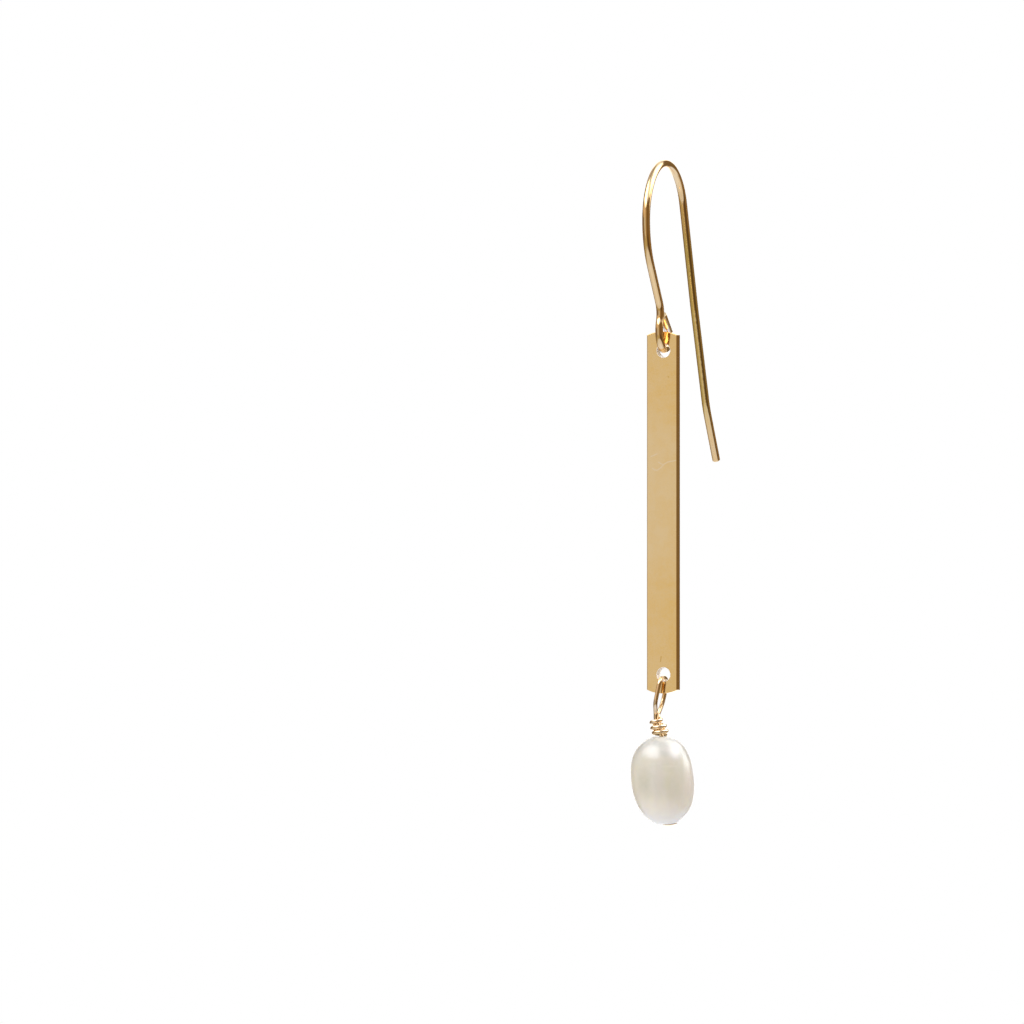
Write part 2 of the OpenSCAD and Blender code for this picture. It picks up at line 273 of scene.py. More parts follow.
def bar_outline(inset, half_w, half_h):
    """Points round the bar's face: a bulging end above and below, and two straight long sides."""
    end_r = (half_w ** 2 + END_RISE ** 2) / (2 * END_RISE)
    reach = half_w - inset
    round_r = end_r - inset
    points = []
    for side in (1, -1):
        middle_z = side * (half_h - end_r)
        spread = asin(reach / round_r)
        for i in range(END_STEPS + 1):
            angle = spread * (1 - 2 * i / END_STEPS)
            points.append((side * round_r * sin(angle), middle_z + side * round_r * cos(angle)))
        corner = points[-1]
        for i in range(1, SIDE_STEPS):
            points.append((corner[0], corner[1] * (1 - 2 * i / SIDE_STEPS)))
    return points


def hole_outline(middle, radius):
    angles = [2 * pi * i / HOLE_SIDES for i in range(HOLE_SIDES)]
    return [(middle[0] + radius * cos(a), middle[1] + radius * sin(a)) for a in angles]


def rounded_profile(edge, half_t):
    """(inset, depth) pairs across an edge wall, from the front face to the back face."""
    front = []
    for i in range(ROUND_STEPS + 1):
        angle = pi / 2 * i / ROUND_STEPS
        front.append((edge * (1 - sin(angle)), -half_t + edge * (1 - cos(angle))))
    return front + [(inset, -depth) for inset, depth in reversed(front)]


def make_bar(material, hole_reflection_material):
    low, high = (mm(corner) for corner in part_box("bar"))
    half = (high - low) / 2
    hole_z = half.z - HOLE_INSET
    shape = bmesh.new()

    def wall(outline_at, edge):
        rings = []
        for inset, depth in rounded_profile(edge, half.y):
            outline = outline_at(inset)
            rings.append([shape.verts.new(Vector((x, depth, z)) + bar_middle) for x, z in outline])
        for here, there in zip(rings, rings[1:]):
            for j in range(len(here)):
                k = (j + 1) % len(here)
                shape.faces.new([here[j], here[k], there[k], there[j]])
        return rings[0], rings[-1]

    walls = [wall(lambda inset: bar_outline(inset, half.x, half.z), EDGE_ROUND)]
    for side in (1, -1):
        hole = (HOLE_SHIFT, side * hole_z)
        walls.append(wall(lambda inset: hole_outline(hole, HOLE_R + inset), HOLE_ROUND))
    for face in (0, 1):
        edges = []
        for ring in (w[face] for w in walls):
            for j in range(len(ring)):
                edges.append(shape.edges.get([ring[j], ring[(j + 1) % len(ring)]]))
        bmesh.ops.triangle_fill(shape, edges=edges, use_beauty=True)
    bmesh.ops.recalc_face_normals(shape, faces=shape.faces)
    shape.verts.index_update()
    points = [v.co.copy() for v in shape.verts]
    faces = [[v.index for v in f.verts] for f in shape.faces]
    shape.free()
    bar = add_mesh("gold_bar", points, faces, material, BAR_SMOOTH_ANGLE)
    bar.data.materials.append(hole_reflection_material)
    for face in bar.data.polygons:
        place = face.center / MM - bar_middle
        if hypot(place.x - HOLE_SHIFT, abs(place.z) - hole_z) < HOLE_R + HOLE_ROUND:
            face.material_index = 1
    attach(bar, "hanging_bar")
    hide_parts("bar")


# Head pin
PIN_R = 0.205
HEAD_R = 0.71
HEAD_T = 0.22
HEAD_RIM = 0.05
HEAD_EDGE = 0.01
HEAD_FILLET = 0.03
HEAD_GAP = 0.03
DOME_REACHES = (0.06, 0.2, 0.35, 0.5, 0.62, 0.69)
RING_LEAN = 9.5
RING_START = (0, 0, 122)
RING_FRONT_ROWS = [(0.87, 1.2, -40), (1.38, 0.75, -62)]
RING_TOP_R = 1.7
RING_TIP_TURN = 20
RING_BACK_ROWS = [(0, RING_TOP_R, -44), (0, 0.7, -73), (1, 2.2, -29), (1.1, 0, 0)]
NECK_SHIFT_X = 0.57
NECK_SHIFT_Y = 0.15
WRAP_TURNS = 3.06
WRAP_GAP = 0.03
WRAP_SLACK = 0.21
WRAP_SPACE = 0.015
WRAP_SPREAD = 0.09
WRAP_FOOT = 0.25
WRAP_DROP = 0.36
WRAP_END_OUT = 0.25
WRAP_END_TURN = 0.1
WRAP_END_BEVEL = 0.04
# The winding starts behind the neck, in degrees from the right
WRAP_START = 90
BORE_LEAN_X = 3.7
BORE_LEAN_Y = 5.7
PIN_SIDES = 24
PIN_RUN_STEP = 0.08
PIN_TURN_STEP = 4
# Where the wire's soft bends have their points: shares of the stem, of the neck inside the winding and of the
# neck above it, points left out at both ends of the ring, and turns left out at the start of the winding
STEM_SHARES = (0.02, 0.5, 0.96)
WOUND_SHARES = (0.2, 0.5, 0.85)
NECK_SHARES = (0.1, 0.6)
RING_SKIP = 2
WRAP_SKIP = 0.05
WRAP_STEPS = 120
BEND_STEPS = 3

# Pearl
PEARL_W = 6.14
PEARL_T = 6
PEARL_H = 8.4
BORE_R = 0.245
BORE_EDGE = 0.04
PEARL_TWIST = 19.7

ring_top = mm(joints["pearl_swing"]["pos_m"])
ring_front = walk(RING_START, RING_FRONT_ROWS, PIN_RUN_STEP, PIN_TURN_STEP)
ring_tip = around(ring_front[-1], RING_TOP_R, -RING_TIP_TURN)


def on_ring(place):
    """A place along the ring's wire in the part's frame. The ring leans, and hangs by its tip."""
    across = place[0] - ring_tip[0]
    up = place[1] - ring_tip[1]
    return ring_top + Vector((up * sin(radians(RING_LEAN)), across, up * cos(radians(RING_LEAN))))


def wrap_height(turns):
    """Height of the winding above the pearl, this many turns before the wire's cut end."""
    return WRAP_FOOT + (2 * PIN_R + WRAP_SPACE - WRAP_SPREAD / 2) * turns + WRAP_SPREAD / 2 * turns ** 2


def bore_lean(share):
    """A share of the bore's lean, as a rotation."""
    lean_x = Matrix.Rotation(radians(-BORE_LEAN_X * share), 4, "Y")
    return lean_x @ Matrix.Rotation(radians(BORE_LEAN_Y * share), 4, "X")


neck_top = on_ring(RING_START)
wind_h = wrap_height(WRAP_TURNS)
wind_top = neck_top - Vector((0, 0, WRAP_DROP))
bore_top = wind_top + Vector((NECK_SHIFT_X, NECK_SHIFT_Y, -wind_h))
bore_frame = Matrix.Translation(bore_top) @ bore_lean(1)


def wrap_point(turns):
    """The middle of the wire after it has made this many turns around the neck."""
    swell = max(0.0, turns - WRAP_TURNS + WRAP_END_TURN) / WRAP_END_TURN
    radius = 2 * PIN_R + WRAP_GAP + WRAP_SLACK * min(1, turns ** 2) + WRAP_END_OUT * swell ** 2
    angle = radians(WRAP_START - 360 * turns)
    neck = bore_top.lerp(wind_top, wrap_height(WRAP_TURNS - turns) / wind_h)
    return neck + radius * Vector((cos(angle), sin(angle), 0))


def head_profile():
    """The wire's own end, spread flat and domed below: (distance below the head's top, radius) pairs."""
    dome = HEAD_T - HEAD_RIM
    dome_r = (HEAD_R ** 2 + dome ** 2) / (2 * dome)
    under = [(HEAD_T - dome_r + sqrt(dome_r ** 2 - reach ** 2), reach) for reach in DOME_REACHES]
    rim = [(HEAD_RIM - HEAD_EDGE, HEAD_R), (HEAD_EDGE, HEAD_R), (0.0, HEAD_R - 2 * HEAD_EDGE)]
    fillet = [(0.0, PIN_R + HEAD_FILLET), (-HEAD_FILLET, PIN_R)]
    return under + rim + fillet


def pin_line(head_top):
    """The wire from the head up through the pearl, round the ring and around the neck."""
    stem = [head_top.lerp(bore_top, t) for t in STEM_SHARES]
    neck = [bore_top.lerp(wind_top, t) for t in WOUND_SHARES]
    neck += [wind_top.lerp(neck_top, t) for t in NECK_SHARES]
    ring_rows = RING_FRONT_ROWS + RING_BACK_ROWS
    ring = [on_ring(place) for place in walk(RING_START, ring_rows, PIN_RUN_STEP, PIN_TURN_STEP)]
    turns = [WRAP_SKIP + (WRAP_TURNS - WRAP_SKIP) * i / WRAP_STEPS for i in range(WRAP_STEPS + 1)]
    wraps = [wrap_point(t) for t in turns]
    return smooth_through(stem + neck + ring[RING_SKIP:-RING_SKIP] + wraps, BEND_STEPS)


def make_head_pin(material):
    head_top = bore_frame @ Vector((0, 0, -PEARL_H - HEAD_GAP))
    down = (bore_frame.to_3x3() @ Vector((0, 0, -1))).normalized()
    head = head_profile()
    wire = pin_line(head_top)
    line = [head_top + down * below for below, _ in head] + wire
    radii = [radius for _, radius in head] + blunt_radii(wire, PIN_R, 0, WRAP_END_BEVEL)
    points, faces = tube(line, radii, PIN_SIDES)
    pin = add_mesh("head_pin_wire", points, faces, material)
    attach(pin, "drop")
    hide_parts("head_pin")


# Pearl's sections: how far along the bore, and its reach to the left and right of the bore, as shares of
# its length and width. The top one lies level, and the bottom one lies square to the bore.
PEARL_SECTIONS = [
    (0, 0.09, 0.09),
    (-0.004, 0.16, 0.13),
    (0.01, 0.21, 0.185),
    (0.035, 0.27, 0.245),
    (0.09, 0.365, 0.325),
    (0.16, 0.445, 0.377),
    (0.24, 0.503, 0.413),
    (0.33, 0.535, 0.436),
    (0.42, 0.549, 0.447),
    (0.5, 0.551, 0.449),
    (0.58, 0.545, 0.444),
    (0.66, 0.529, 0.429),
    (0.74, 0.502, 0.404),
    (0.81, 0.464, 0.37),
    (0.87, 0.415, 0.321),
    (0.925, 0.348, 0.257),
    (0.965, 0.284, 0.19),
    (0.99, 0.226, 0.145),
    (1, 0.17, 0.12),
]
# The bore from its foot up, with rounded ends: how far along it, and its radius in millimetres
BORE_SECTIONS = [
    (1, BORE_R + BORE_EDGE),
    (0.99, BORE_R),
    (0.5, BORE_R),
    (0.01, BORE_R),
    (0, BORE_R + BORE_EDGE),
]
# Growth wrinkles: share along the bore, angle round it from the right and half length in degrees, half width
# as a share, and depth in millimetres. Their ends bow down by a share.
WRINKLES = [
    (0.315, -80, 22, 0.011, 0.016),
    (0.34, -68, 18, 0.010, -0.009),
    (0.44, -24, 22, 0.010, 0.014),
    (0.28, -100, 25, 0.013, 0.008),
]
WRINKLE_BOW = 0.02
# Low swells, which only ever lie inside the smooth form. Near the bore they fade out.
SWELL_DEPTH = 0.02
SWELL_SCALE = 0.5
SWELL_FULL_R = 1
SWELL_LEAST_R = 0.1
PEARL_SIDES = 144
SECTION_STEPS = 7
PEARL_SMOOTH_ANGLE = 50


def wrinkle(share, angle):
    depth = 0.0
    for where, middle, half_length, half_width, deep in WRINKLES:
        turn = (angle - middle + 180) % 360 - 180
        bow = where + WRINKLE_BOW * (turn / half_length) ** 2
        depth += deep * exp(-(turn / half_length) ** 2 - ((share - bow) / half_width) ** 2)
    return depth


def pearl_offset(share, half, angle):
    """A point of a section's outline, from the section's middle."""
    x = half * PEARL_W * cos(radians(angle))
    y = half * PEARL_T * sin(radians(angle))
    reach = hypot(x, y)
    swell = SWELL_DEPTH * noise.noise(Vector((x, y, share * PEARL_H)) * SWELL_SCALE) - SWELL_DEPTH
    factor = 1 + (swell - wrinkle(share, angle)) * min(SWELL_FULL_R, reach) / max(reach, SWELL_LEAST_R)
    return x * factor, y * factor


def pearl_ring(share, offsets):
    """A section's points in the part's frame, tilted for how far along the bore it lies."""
    tilt = bore_lean(share) @ Matrix.Rotation(radians(PEARL_TWIST), 4, "Z")
    middle = bore_frame @ Vector((0, 0, -share * PEARL_H))
    return [middle + tilt @ Vector((x, y, 0)) for x, y in offsets]


def make_pearl(material):
    sections = smooth_through([Vector(row) for row in PEARL_SECTIONS], SECTION_STEPS)
    angles = [360 * j / PEARL_SIDES for j in range(PEARL_SIDES)]
    points = []
    for share, left, right in sections:
        shift = (right - left) / 2 * PEARL_W
        outline = [pearl_offset(share, (right + left) / 2, angle) for angle in angles]
        points += pearl_ring(share, [(shift + x, y) for x, y in outline])
    turns = [2 * pi * j / PEARL_SIDES for j in range(PEARL_SIDES)]
    for share, radius in BORE_SECTIONS:
        points += pearl_ring(share, [(radius * cos(t), radius * sin(t)) for t in turns])
    faces = strips(len(sections) + len(BORE_SECTIONS), PEARL_SIDES, closed=True)
    pearl = add_mesh("drop_pearl", points, faces, material, PEARL_SMOOTH_ANGLE)
    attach(pearl, "drop")
    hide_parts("pearl")


# Materials. Noises have their scale per millimetre, and waves their depth in millimetres. A fade is a pair of
# values, where something starts and where it is full.

# The Mix node has one set of sockets for each kind of value, and these are those for colours
MIX_FACTOR = 0
MIX_A = 6
MIX_B = 7
MIX_RESULT = 2
CLOUD_FADE = (0.35, 0.65)
GRAIN_FADE = (0.3, 0.7)


class Graph:
    """Adds nodes to one shader tree. A value given to a socket is either a plain value or another socket."""

    def __init__(self, tree):
        self.tree = tree
        tree.nodes.clear()

    def node(self, kind, values=(), **settings):
        made = self.tree.nodes.new(kind)
        for name, value in settings.items():
            setattr(made, name, value)
        for name, value in dict(values).items():
            self.put(made.inputs[name], value)
        return made

    def put(self, socket, value):
        if isinstance(value, bpy.types.NodeSocket):
            self.tree.links.new(value, socket)
        elif socket.type == "RGBA":
            socket.default_value = (*value, 1)
        else:
            socket.default_value = value

    def math(self, operation, *values, clamp=False):
        made = self.node("ShaderNodeMath", dict(enumerate(values)), operation=operation, use_clamp=clamp)
        return made.outputs[0]

    def product(self, first, *others):
        for value in others:
            first = self.math("MULTIPLY", first, value)
        return first

    def vector(self, operation, *values):
        made = self.node("ShaderNodeVectorMath", dict(enumerate(values)), operation=operation)
        return made.outputs["Value" if operation in ("DOT_PRODUCT", "LENGTH") else "Vector"]

    def scaled(self, a, factor):
        made = self.node("ShaderNodeVectorMath", {0: a, "Scale": factor}, operation="SCALE")
        return made.outputs["Vector"]

    def split(self, place):
        return self.node("ShaderNodeSeparateXYZ", {0: place}).outputs

    def joined(self, *parts):
        return self.node("ShaderNodeCombineXYZ", dict(enumerate(parts))).outputs[0]

    def between(self, value, low, high, to_low=0.0, to_high=1.0):
        made = self.node("ShaderNodeMapRange", {"Value": value, "From Min": low, "From Max": high,
                                                "To Min": to_low, "To Max": to_high},
                         interpolation_type="SMOOTHSTEP")
        return made.outputs["Result"]

    def mix(self, factor, a, b):
        made = self.node("ShaderNodeMix", {MIX_FACTOR: factor}, data_type="RGBA")
        self.put(made.inputs[MIX_A], a)
        self.put(made.inputs[MIX_B], b)
        return made.outputs[MIX_RESULT]

    def noise(self, place, scale, detail=2.0, roughness=0.5):
        made = self.node("ShaderNodeTexNoise", {"Vector": place, "Scale": scale, "Detail": detail,
                                                "Roughness": roughness})
        return made.outputs["Fac"]

    def clouds(self, place, scale, detail=3.0, roughness=0.5):
        return self.between(self.noise(place, scale, detail, roughness), *CLOUD_FADE)

    def waves(self, place, scale, detail, strength, depth):
        """A normal for soft waves in the surface."""
        height = self.noise(place, scale, detail)
        made = self.node("ShaderNodeBump", {"Height": height, "Strength": strength, "Distance": depth * MM})
        return made.outputs["Normal"]

    def place_mm(self):
        """The point being shaded, in millimetres in the part's own frame."""
        return self.scaled(self.node("ShaderNodeTexCoord").outputs["Object"], 1 / MM)

    def surface(self, values):
        shader = self.node("ShaderNodeBsdfPrincipled", values)
        output = self.node("ShaderNodeOutputMaterial")
        self.put(output.inputs["Surface"], shader.outputs[0])

    def metal(self, colour, roughness, normal):
        self.surface({"Base Color": colour, "Metallic": 1.0, "Roughness": roughness, "Normal": normal})


def new_material(name):
    material = bpy.data.materials.new(name)
    material.use_nodes = True
    return material, Graph(material.node_tree)


# The hook's wire
WIRE_DEEP = (0.95, 0.65, 0.30)
WIRE_PALE = (0.95, 0.69, 0.36)
WIRE_ROUGHNESS = (0.05, 0.11)
# Tints of single stretches: the loop's rear half is paler, a painted reflection that stands in for the paler
# gold mirrored inside the loop, and the tail is a little duller and greener above its bend. Each has a
# colour, and fades along the part's axes in millimetres.
WIRE_TINTS_AND_PAINTED_REFLECTION = [
    ("loop", (0.97, 0.83, 0.64), [("Z", -14, -15.5), ("Y", 3, 1), ("Y", -0.7, 0.1)]),
    ("tail", (0.84, 0.65, 0.28), [("Z", -5, -8), ("Z", -27, -21), ("Y", 3, 6)]),
]


def wire_gold():
    material, graph = new_material("polished_wire")
    place = graph.place_mm()
    parts = graph.split(place)
    colour = graph.mix(graph.clouds(place, scale=0.6), WIRE_DEEP, WIRE_PALE)
    for _, tint, fades in WIRE_TINTS_AND_PAINTED_REFLECTION:
        inside = graph.product(*(graph.between(parts[axis], start, full) for axis, start, full in fades))
        # The loop's paler tint is a painted reflection
        colour = graph.mix(inside, colour, tint)
    grain = graph.noise(place, scale=5, detail=3)
    roughness = graph.between(grain, *GRAIN_FADE, *WIRE_ROUGHNESS)
    graph.metal(colour, roughness, graph.waves(place, scale=1.8, detail=2, strength=0.05, depth=0.2))
    return material


# The bar
BAR_DEEP = (0.94, 0.60, 0.20)
# Both the gold's paler tone and the colour of the painted reflection on the face
BAR_PALE_AND_REFLECTION = (0.955, 0.70, 0.37)
BAR_GRAIN = (0.95, 0.71, 0.41)
BAR_ROUGHNESS = (0.08, 0.13)
GRAIN_SHARE = 0.3
# What makes the face paler: its height above the bar's middle, clouds, and how far to its left. The clouds
# are the gold's own tone, while the pale band about its middle and the paler left are a painted reflection.
REFLECTION_BAND_TOP_FADE = (11, 6)
REFLECTION_BAND_FOOT_FADE = (-9, -2)
REFLECTION_LEFT_FADE = (1.6, -1.6)
REFLECTION_BAND_SHARE = 0.5
PALE_CLOUD_SHARE = 0.3
REFLECTION_LEFT_SHARE = 0.2
# Fine marks in its front face: lines through points, as (right, up) from its middle in millimetres
PALE_MARKS = [
    [(-1.09, 5.42), (-0.5, 5.66)],
    [(-0.95, 4.27), (-0.72, 4.1), (-0.43, 4.1), (-0.09, 4.34), (0.2, 4.65), (0.6, 4.88), (1.41, 5.03)],
    [(-0.35, 4.86), (0.05, 4.65)],
]
DARK_MARKS = [
    [(0.65, 13.13), (0.69, 13.09)],
    [(-0.07, -13.93), (-0.13, -14.41)],
]
MARK_HALF_W = 0.09
# The marks' lines, how strong they are, and their colour
MARKS = [
    (PALE_MARKS, 0.6, (1.0, 0.82, 0.60)),
    (DARK_MARKS, 0.8, (0.70, 0.40, 0.08)),
]
FRONT_FADE = (0.1, -0.1)


def near_lines(graph, spot, lines):
    """1 on the lines and 0 away from them. spot is a vector socket with the point being shaded."""
    nearest = None
    for line in lines:
        for a, b in zip(line, line[1:]):
            way = Vector((b[0] - a[0], b[1] - a[1], 0))
            away = graph.vector("SUBTRACT", spot, (*a, 0))
            passed = graph.vector("DOT_PRODUCT", away, way)
            foot = graph.scaled(way, graph.math("DIVIDE", passed, way.length_squared, clamp=True))
            distance = graph.vector("LENGTH", graph.vector("SUBTRACT", away, foot))
            nearest = distance if nearest is None else graph.math("MINIMUM", nearest, distance)
    return graph.between(nearest, MARK_HALF_W, 0.0)


def bar_gold():
    material, graph = new_material("polished_bar")
    place = graph.place_mm()
    parts = graph.split(graph.vector("SUBTRACT", place, bar_middle))
    # Painted reflection: the face is paler in a band about its middle and towards its left
    below_top = graph.between(parts["Z"], *REFLECTION_BAND_TOP_FADE)
    height = graph.product(below_top, graph.between(parts["Z"], *REFLECTION_BAND_FOOT_FADE))
    clouds = graph.clouds(place, scale=0.7, detail=5, roughness=0.65)
    left = graph.between(parts["X"], *REFLECTION_LEFT_FADE)
    pale_and_reflection = graph.product(height, REFLECTION_BAND_SHARE)
    for value, share in ((clouds, PALE_CLOUD_SHARE), (left, REFLECTION_LEFT_SHARE)):
        pale_and_reflection = graph.math("ADD", pale_and_reflection, graph.product(value, share))
    grain = graph.between(graph.noise(place, scale=5.5, detail=3, roughness=0.7), *GRAIN_FADE)
    colour = graph.mix(pale_and_reflection, BAR_DEEP, BAR_PALE_AND_REFLECTION)
    colour = graph.mix(graph.product(grain, GRAIN_SHARE), colour, BAR_GRAIN)
    spot = graph.joined(parts["X"], parts["Z"])
    front = graph.between(parts["Y"], *FRONT_FADE)
    for lines, strength, tint in MARKS:
        marked = graph.product(near_lines(graph, spot, lines), front, strength)
        colour = graph.mix(marked, colour, tint)
    roughness = graph.between(grain, 0.0, 1.0, *BAR_ROUGHNESS)
    graph.metal(colour, roughness, graph.waves(place, scale=0.9, detail=1, strength=0.04, depth=0.2))
    return material


# The walls of the bar's holes, near white and matt: a painted reflection of the bright white background, not
# the gold's own colour
HOLE_REFLECTION_DEEP = (0.98, 0.95, 0.89)
HOLE_REFLECTION_PALE = (0.99, 0.97, 0.94)


def hole_painted_reflection():
    material, graph = new_material("painted_hole_reflection")
    colour = graph.mix(graph.noise(graph.place_mm(), scale=3), HOLE_REFLECTION_DEEP, HOLE_REFLECTION_PALE)
    # Near white: a painted reflection of the white background
    graph.surface({"Base Color": colour, "Metallic": 0.0, "Roughness": 0.8, "Specular IOR Level": 0.1})
    return material


# The head pin's wire, softer and paler than the hook's
PIN_DEEP = (0.95, 0.71, 0.42)
PIN_PALE = (0.96, 0.77, 0.52)
PIN_ROUGHNESS = (0.11, 0.16)


def pin_gold():
    material, graph = new_material("soft_wire")
    place = graph.place_mm()
    colour = graph.mix(graph.clouds(place, scale=1.1), PIN_DEEP, PIN_PALE)
    roughness = graph.between(graph.noise(place, scale=6, detail=3), *GRAIN_FADE, *PIN_ROUGHNESS)
    graph.metal(colour, roughness, graph.waves(place, scale=3, detail=1, strength=0.04, depth=0.1))
    return material


# The pearl: beige round its middle, paler towards its foot and greyer towards its top. This is painted light
# and
# shade over its own cream colour: the beige middle is partly a painted reflection of the dark room, the pale
# foot is painted light from below, and the grey top is painted shade that tones down the overhead light.
# Heights are above its middle in millimetres.
NACRE_MIDDLE_TONE_AND_SHADE = (0.77, 0.76, 0.67)
NACRE_LIT_FOOT = (0.97, 0.93, 0.81)
NACRE_SHADED_TOP = (0.57, 0.57, 0.52)
NACRE_CLOUD = (0.86, 0.80, 0.76)
NACRE_LIT_FOOT_FADE = (0.5, -4.0)
NACRE_SHADED_TOP_FADE = (1.2, 3.4)
NACRE_CLOUD_SHARE = 0.25
# Painted light and shade in patches: the darker ones across its middle are painted reflections of the dark
# room, the paler ones at its left and right sides are painted light at its rim, and the two near its top are
# painted highlights. Each has its middle as (right, front, height) from the pearl's middle, reach along each,
# and colour.
# Right and front are as seen from the photograph's viewpoint.
NACRE_LIGHT_AND_SHADE_PATCHES = [
    ((-1.7, 2.4, 0.1), (1.2, 2.0, 2.2), (0.66, 0.66, 0.56)),
    ((0.9, 2.8, -0.1), (1.3, 2.0, 2.0), (0.76, 0.75, 0.63)),
    ((-0.5, 2.9, 0.2), (0.8, 2.0, 2.6), (0.73, 0.72, 0.66)),
    ((2.6, 1.2, -0.2), (0.9, 2.2, 1.9), (0.82, 0.78, 0.71)),
    ((-2.9, 0.8, -0.4), (0.8, 2.4, 2.2), (0.82, 0.80, 0.67)),
    ((-0.9, 2.0, 2.75), (0.8, 2.0, 0.9), (0.72, 0.72, 0.69)),
    ((1.1, 2.0, 2.8), (0.8, 2.0, 0.9), (0.82, 0.82, 0.80)),
]
# As shares of a patch's reach
LIGHT_PATCH_FADE = (1.15, 0.2)


def nacre():
    material, graph = new_material("nacre")
    place = graph.place_mm()
    middle = middle_of(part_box("pearl"))
    height = graph.split(graph.vector("SUBTRACT", place, middle))["Z"]
    # Painted light and shade by height: paler foot, greyer top
    colour = graph.mix(graph.between(height, *NACRE_LIT_FOOT_FADE), NACRE_MIDDLE_TONE_AND_SHADE, NACRE_LIT_FOOT)
    colour = graph.mix(graph.between(height, *NACRE_SHADED_TOP_FADE), colour, NACRE_SHADED_TOP)
    # Patches of painted reflection, rim light and highlight
    for (right, front, up), reaches, tint in NACRE_LIGHT_AND_SHADE_PATCHES:
        centre = middle + right * to_right + front * to_camera + Vector((0, 0, up))
        away = graph.vector("SUBTRACT", place, centre)
        parts = [graph.math("DIVIDE", graph.vector("DOT_PRODUCT", away, axis), reach)
                 for axis, reach in zip((to_right, to_camera, (0, 0, 1)), reaches)]
        inside = graph.between(graph.vector("LENGTH", graph.joined(*parts)), *LIGHT_PATCH_FADE)
        colour = graph.mix(inside, colour, tint)
    colour = graph.mix(graph.product(graph.clouds(place, scale=1.3), NACRE_CLOUD_SHARE), colour, NACRE_CLOUD)
    graph.surface({
        "Base Color": colour, "Roughness": 0.3, "IOR": 1.6, "Specular IOR Level": 0.5,
        "Coat Weight": 0.6, "Coat Roughness": 0.1, "Coat IOR": 1.6,
        "Sheen Weight": 0.3, "Sheen Roughness": 0.4,
        "Subsurface Weight": 0.5, "Subsurface Radius": (1.0, 0.9, 0.7), "Subsurface Scale": 1.5 * MM,
        "Normal": graph.waves(place, scale=1.2, detail=3, strength=0.05, depth=0.3)})
    return material


# Camera: at the photograph's angle, level, so far away that its view is almost parallel
IMAGE_PX = 1024
PX_PER_MM = 10.34
# The point over the bar's holes at the height where the hook's arch hangs, in pixels of the photograph
ANCHOR_PX = (665.1, 167.3)
SENSOR_MM = 36
LENS_MM = 800


def make_camera():
    anchor = Vector((bar_middle.x + HOLE_SHIFT, bar_middle.y, 0))
    right = (IMAGE_PX / 2 - ANCHOR_PX[0]) / PX_PER_MM
    up = (ANCHOR_PX[1] - IMAGE_PX / 2) / PX_PER_MM
    distance = IMAGE_PX / PX_PER_MM * LENS_MM / SENSOR_MM
    data = bpy.data.cameras.new("camera")
    data.sensor_width = SENSOR_MM
    data.lens = LENS_MM
    camera = bpy.data.objects.new("camera", data)
    camera.location = (anchor + right * to_right + Vector((0, 0, up)) + distance * to_camera) * MM
    camera.rotation_euler = to_camera.to_track_quat("Z", "Y").to_euler()
    bpy.context.collection.objects.link(camera)
    bpy.context.scene.camera = camera


# Studio: what the metal mirrors. Each zone is a soft-edged window in the sky round the object: its middle as
# degrees right of the photograph's viewpoint and degrees above the horizon, half its width and height, how
# soft its edge is, and its colour. Between the zones the sky has the room's colour.
ROOM = (0.19, 0.12, 0.055)
# The half width of a zone that goes all round
ALL_ROUND = 180
ZONES = [
    ("left_wall", -75, -4, 36, 26, 8, (0.25, 0.195, 0.15)),
    ("camera_side", -2, -5, 16, 26, 7, (0.34, 0.24, 0.13)),
    ("left_of_camera", -22, -5, 9, 24, 6, (0.50, 0.42, 0.32)),
    ("right_far", 100, -4, 20, 26, 8, (0.29, 0.20, 0.10)),
    ("right_behind", 143, -2, 22, 24, 5, (0.19, 0.13, 0.06)),
    ("left_panel", -40, -7, 14, 22, 5, (0.70, 0.70, 0.71)),
    ("left_glow", -66, 17, 40, 9, 6, (0.72, 0.58, 0.46)),
    ("table_edge", -62, -30, 62, 9, 4, (0.46, 0.40, 0.24)),
    ("table_edge_right", 54, -25, 42, 8, 4, (0.11, 0.07, 0.035)),
    ("table", 0, -64.5, 180, 27.5, 4, (0.72, 0.75, 0.88)),
    ("table_near", 0, -84, 180, 22, 10, (0.86, 0.93, 1.18)),
    ("table_behind", 180, -52, 65, 26, 6, (0.82, 0.90, 1.15)),
    ("ceiling", 0, 63, 180, 28, 10, (0.96, 1.0, 1.15)),
    ("left_softbox", -56, 47, 44, 20, 6, (3.2, 3.2, 3.2)),
    ("right_softbox", 97, 53, 42, 25, 6, (3.2, 3.2, 3.2)),
    ("right_softbox_low", 114, 24, 18, 16, 6, (3.0, 3.0, 3.0)),
    ("ceiling_top", 0, 90, 180, 16, 8, (0.62, 0.68, 0.90)),
    ("ceiling_behind", -145, 59, 36, 14, 6, (0.33, 0.32, 0.35)),
    ("backdrop", 180, 2, 20, 32, 5, (1.6, 1.6, 1.6)),
]
# The camera itself sees a plain white background
BACKGROUND = (1, 1, 1)


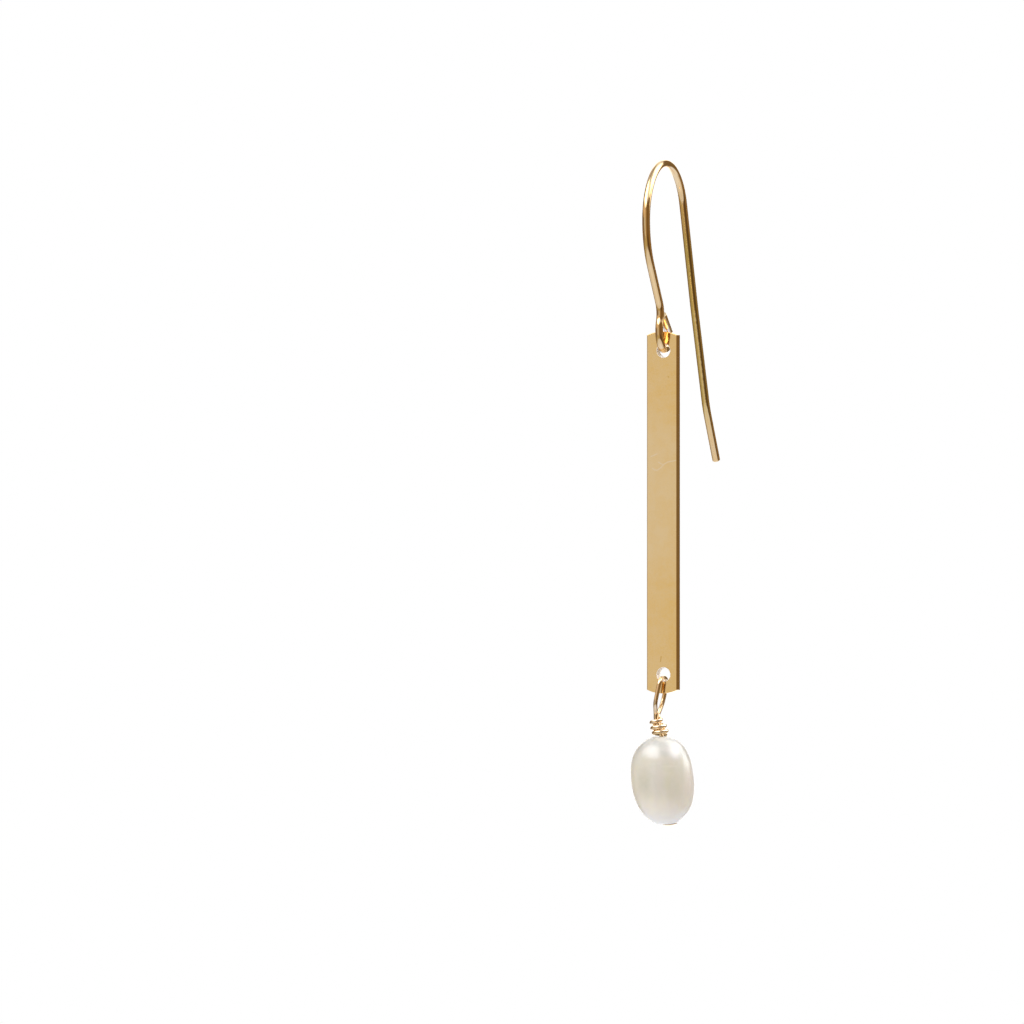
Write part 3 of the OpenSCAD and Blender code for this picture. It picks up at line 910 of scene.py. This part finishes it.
def make_studio():
    world = bpy.data.worlds.new("studio")
    world.use_nodes = True
    bpy.context.scene.world = world
    graph = Graph(world.node_tree)
    direction = graph.vector("NORMALIZE", graph.node("ShaderNodeTexCoord").outputs["Generated"])
    right = graph.vector("DOT_PRODUCT", direction, to_right)
    near = graph.vector("DOT_PRODUCT", direction, to_camera)
    up = graph.vector("DOT_PRODUCT", direction, (0, 0, 1))
    azimuth = graph.math("DEGREES", graph.math("ARCTAN2", right, near))
    elevation = graph.math("DEGREES", graph.math("ARCSINE", up))
    colour = graph.node("ShaderNodeRGB").outputs[0]
    graph.put(colour, ROOM)
    for _, middle_az, middle_el, half_w, half_h, soft, tint in ZONES:
        rise = graph.math("ABSOLUTE", graph.math("SUBTRACT", elevation, middle_el))
        inside = graph.between(rise, half_h + soft, half_h - soft)
        if half_w < ALL_ROUND:
            turn = graph.math("WRAP", graph.math("SUBTRACT", azimuth, middle_az), ALL_ROUND, -ALL_ROUND)
            inside_w = graph.between(graph.math("ABSOLUTE", turn), half_w + soft, half_w - soft)
            inside = graph.product(inside_w, inside)
        colour = graph.mix(inside, colour, tint)
    seen = graph.node("ShaderNodeLightPath").outputs["Is Camera Ray"]
    background = graph.node("ShaderNodeBackground", {"Color": graph.mix(seen, colour, BACKGROUND)})
    output = graph.node("ShaderNodeOutputWorld")
    graph.put(output.inputs["Surface"], background.outputs[0])
    bpy.context.scene.view_settings.view_transform = "Standard"


# Soft light for the matt surfaces, which the gold doesn't mirror: degrees right of the photograph's
# viewpoint, degrees above the horizon, strength and colour
FILLS = [
    ("fill_low", -10, -55, 0.52, (1.0, 0.94, 0.83)),
    ("fill_right", 45, -12, 0.3, (1.0, 0.94, 0.84)),
]
FILL_SPREAD = 110


def make_fills():
    for name, azimuth, elevation, strength, tint in FILLS:
        data = bpy.data.lights.new(name, "SUN")
        data.energy = strength
        data.color = tint
        data.angle = radians(FILL_SPREAD)
        light = bpy.data.objects.new(name, data)
        flat = to_camera * cos(radians(azimuth)) + to_right * sin(radians(azimuth))
        source = flat * cos(radians(elevation)) + Vector((0, 0, sin(radians(elevation))))
        light.rotation_euler = source.to_track_quat("Z", "Y").to_euler()
        light.visible_glossy = False
        bpy.context.collection.objects.link(light)


FLOOR_Z = -250
FLOOR_R = 2400
FLOOR_SIDES = 96
FLOOR_COLOUR = (0.9, 0.9, 0.9)


def make_floor():
    """A plain pale floor. The object doesn't mirror it, and it neither bounces nor blocks light."""
    material, graph = new_material("pale_floor")
    graph.surface({"Base Color": FLOOR_COLOUR, "Roughness": 0.9})
    angles = [2 * pi * i / FLOOR_SIDES for i in range(FLOOR_SIDES)]
    points = [(FLOOR_R * cos(a), FLOOR_R * sin(a), FLOOR_Z) for a in angles]
    floor = add_mesh("floor", points, [list(range(FLOOR_SIDES))], material)
    floor.visible_glossy = False
    floor.visible_diffuse = False
    floor.visible_shadow = False


make_hook(wire_gold())
make_bar(bar_gold(), hole_painted_reflection())
make_head_pin(pin_gold())
make_pearl(nacre())
make_floor()
make_studio()
make_fills()
make_camera()
